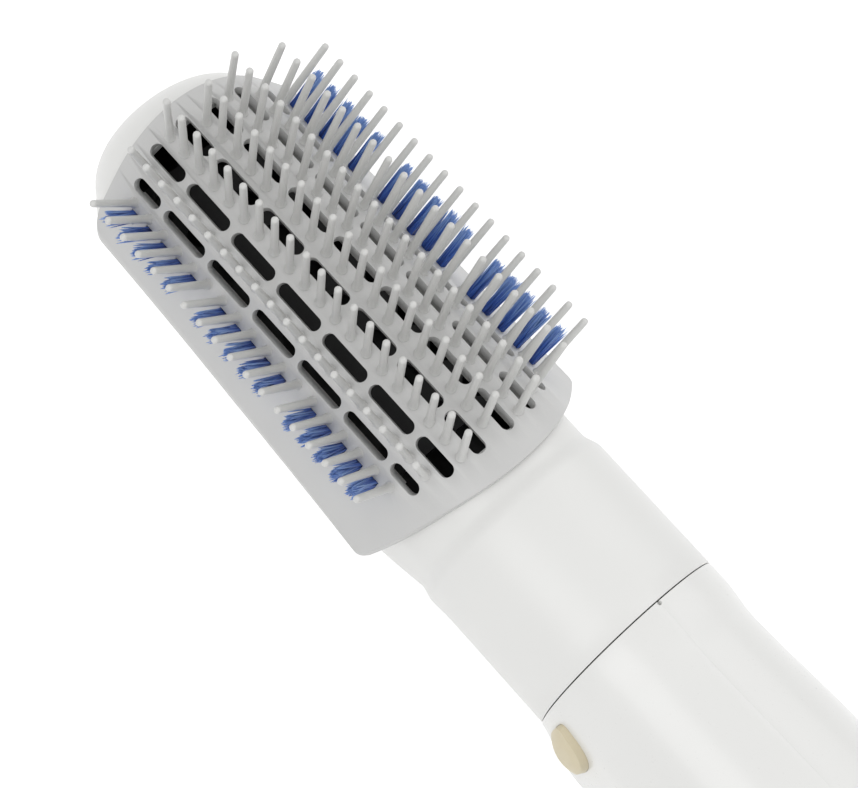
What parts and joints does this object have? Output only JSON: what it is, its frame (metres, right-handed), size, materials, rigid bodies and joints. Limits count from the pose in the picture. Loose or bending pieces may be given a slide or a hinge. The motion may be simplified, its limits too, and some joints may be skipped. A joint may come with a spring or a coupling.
{
  "type": "hot air styler",
  "caption": "Hot air styler with a plug-on brush head: an arched face with pin rows, air slots and bristle tufts, and a two-shell handle.",
  "frame": {"origin": "centre of the resting face under the middle of the length", "axes": "+X runs along the styler from the brush tip to the cord inlet, +Z is out of the brush face along the middle pins, +Y is the right-hand side seen from the pins with the tip away"},
  "size_m": [0.322, 0.0656, 0.0739],
  "materials": {
    "light_grey_plastic": "fine satin",
    "white_plastic": "satin gloss",
    "beige_plastic": "satin",
    "blue_bristle": "nylon strands",
    "white_abs": "moulded",
    "dark_heat_plastic": "glass filled",
    "mica": "layered sheet",
    "heater_alloy": "drawn wire",
    "spring_steel": "drawn wire",
    "zinc_plated_steel": "plated",
    "board_laminate": "paper laminate",
    "brass": "bare",
    "lead_insulation": "soft"
  },
  "bodies": {
    "handle": {"button_spring": "spring_steel", "handle_shell_left": "white_plastic", "handle_shell_right": "white_plastic", "outlet_spigot": "dark_heat_plastic", "outlet_grille": "dark_heat_plastic", "heater_sleeve": "mica", "mica_cross": "mica", "heater_winding": "heater_alloy", "thermostat": "brass", "thermal_fuse": "zinc_plated_steel", "motor": "zinc_plated_steel", "motor_mount": "dark_heat_plastic", "switch_body": "dark_heat_plastic", "circuit_board": "board_laminate", "board_parts": "dark_heat_plastic", "tail_cap": "white_plastic", "intake_filter": "zinc_plated_steel", "supply_leads": "lead_insulation", "handle_screws": "zinc_plated_steel"},
    "brush_head": {"brush_cover": "light_grey_plastic", "brush_body": "white_plastic", "air_baffle": "dark_heat_plastic", "pin_row_1": "light_grey_plastic", "pin_row_2": "light_grey_plastic", "pin_row_3": "light_grey_plastic", "pin_row_4": "light_grey_plastic", "pin_row_5": "light_grey_plastic", "pin_row_6": "light_grey_plastic", "pin_row_7": "light_grey_plastic", "bristle_strip_left": "blue_bristle", "bristle_strip_right": "blue_bristle"},
    "release_button": {"release_button": "beige_plastic"},
    "power_switch": {"power_switch_knob": "beige_plastic"},
    "fan": {"motor_shaft": "spring_steel", "fan_impeller": "white_abs"},
    "cord_inlet": {"cord_inlet": "white_abs", "inlet_ring": "white_abs"}
  },
  "joints": [
    {"name": "head_slide", "type": "slide", "parent": "handle", "child": "brush_head", "axis": [-1, 0, 0], "range_m": [0, 0.03]},
    {"name": "release_button_press", "type": "slide", "parent": "handle", "child": "release_button", "axis": [0, 1, 0], "range_m": [0, 0.0015], "stiffness_N_per_m": 600, "springref_m": -0.003, "deforming": ["button_spring"]},
    {"name": "power_switch_slide", "type": "slide", "parent": "handle", "child": "power_switch", "axis": [1, 0, 0], "range_m": [0, 0.006]},
    {"name": "fan_turn", "type": "hinge", "parent": "handle", "child": "fan", "pos_m": [0.124, 0, 0.03], "axis": [1, 0, 0], "continuous": true},
    {"name": "cord_inlet_turn", "type": "hinge", "parent": "handle", "child": "cord_inlet", "pos_m": [0.156, 0, 0.03], "axis": [1, 0, 0], "continuous": true}
  ]
}
